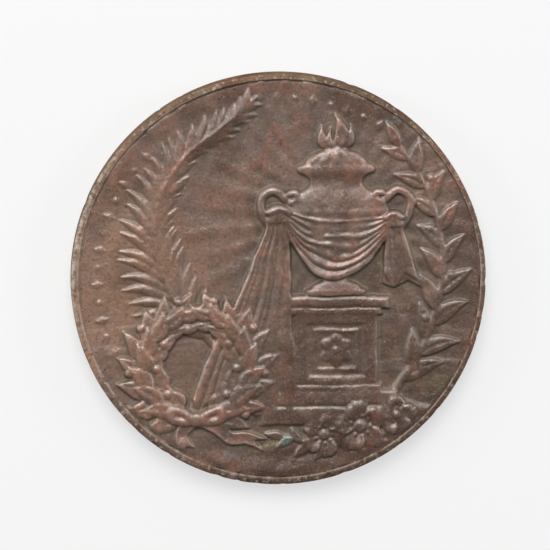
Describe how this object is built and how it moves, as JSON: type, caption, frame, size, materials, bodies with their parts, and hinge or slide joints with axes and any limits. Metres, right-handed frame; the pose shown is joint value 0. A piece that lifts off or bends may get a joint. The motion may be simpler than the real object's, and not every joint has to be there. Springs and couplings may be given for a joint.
{
  "type": "commemorative medal",
  "caption": "Round struck bronze medal with a high relief of a draped urn, wreath and palm inside a narrow rim, and a plain reverse field.",
  "frame": {"origin": "centre of the disc, in the plane that the reverse rim rests on", "axes": "+Z out of the obverse, +Y towards the top of the obverse design, +X to its right"},
  "size_m": [0.06, 0.06, 0.0051],
  "materials": {
    "bronze": "brown patinated bronze, satin, worn brighter on the high points"
  },
  "bodies": {
    "root": {"medal": "bronze"}
  },
  "joints": []
}
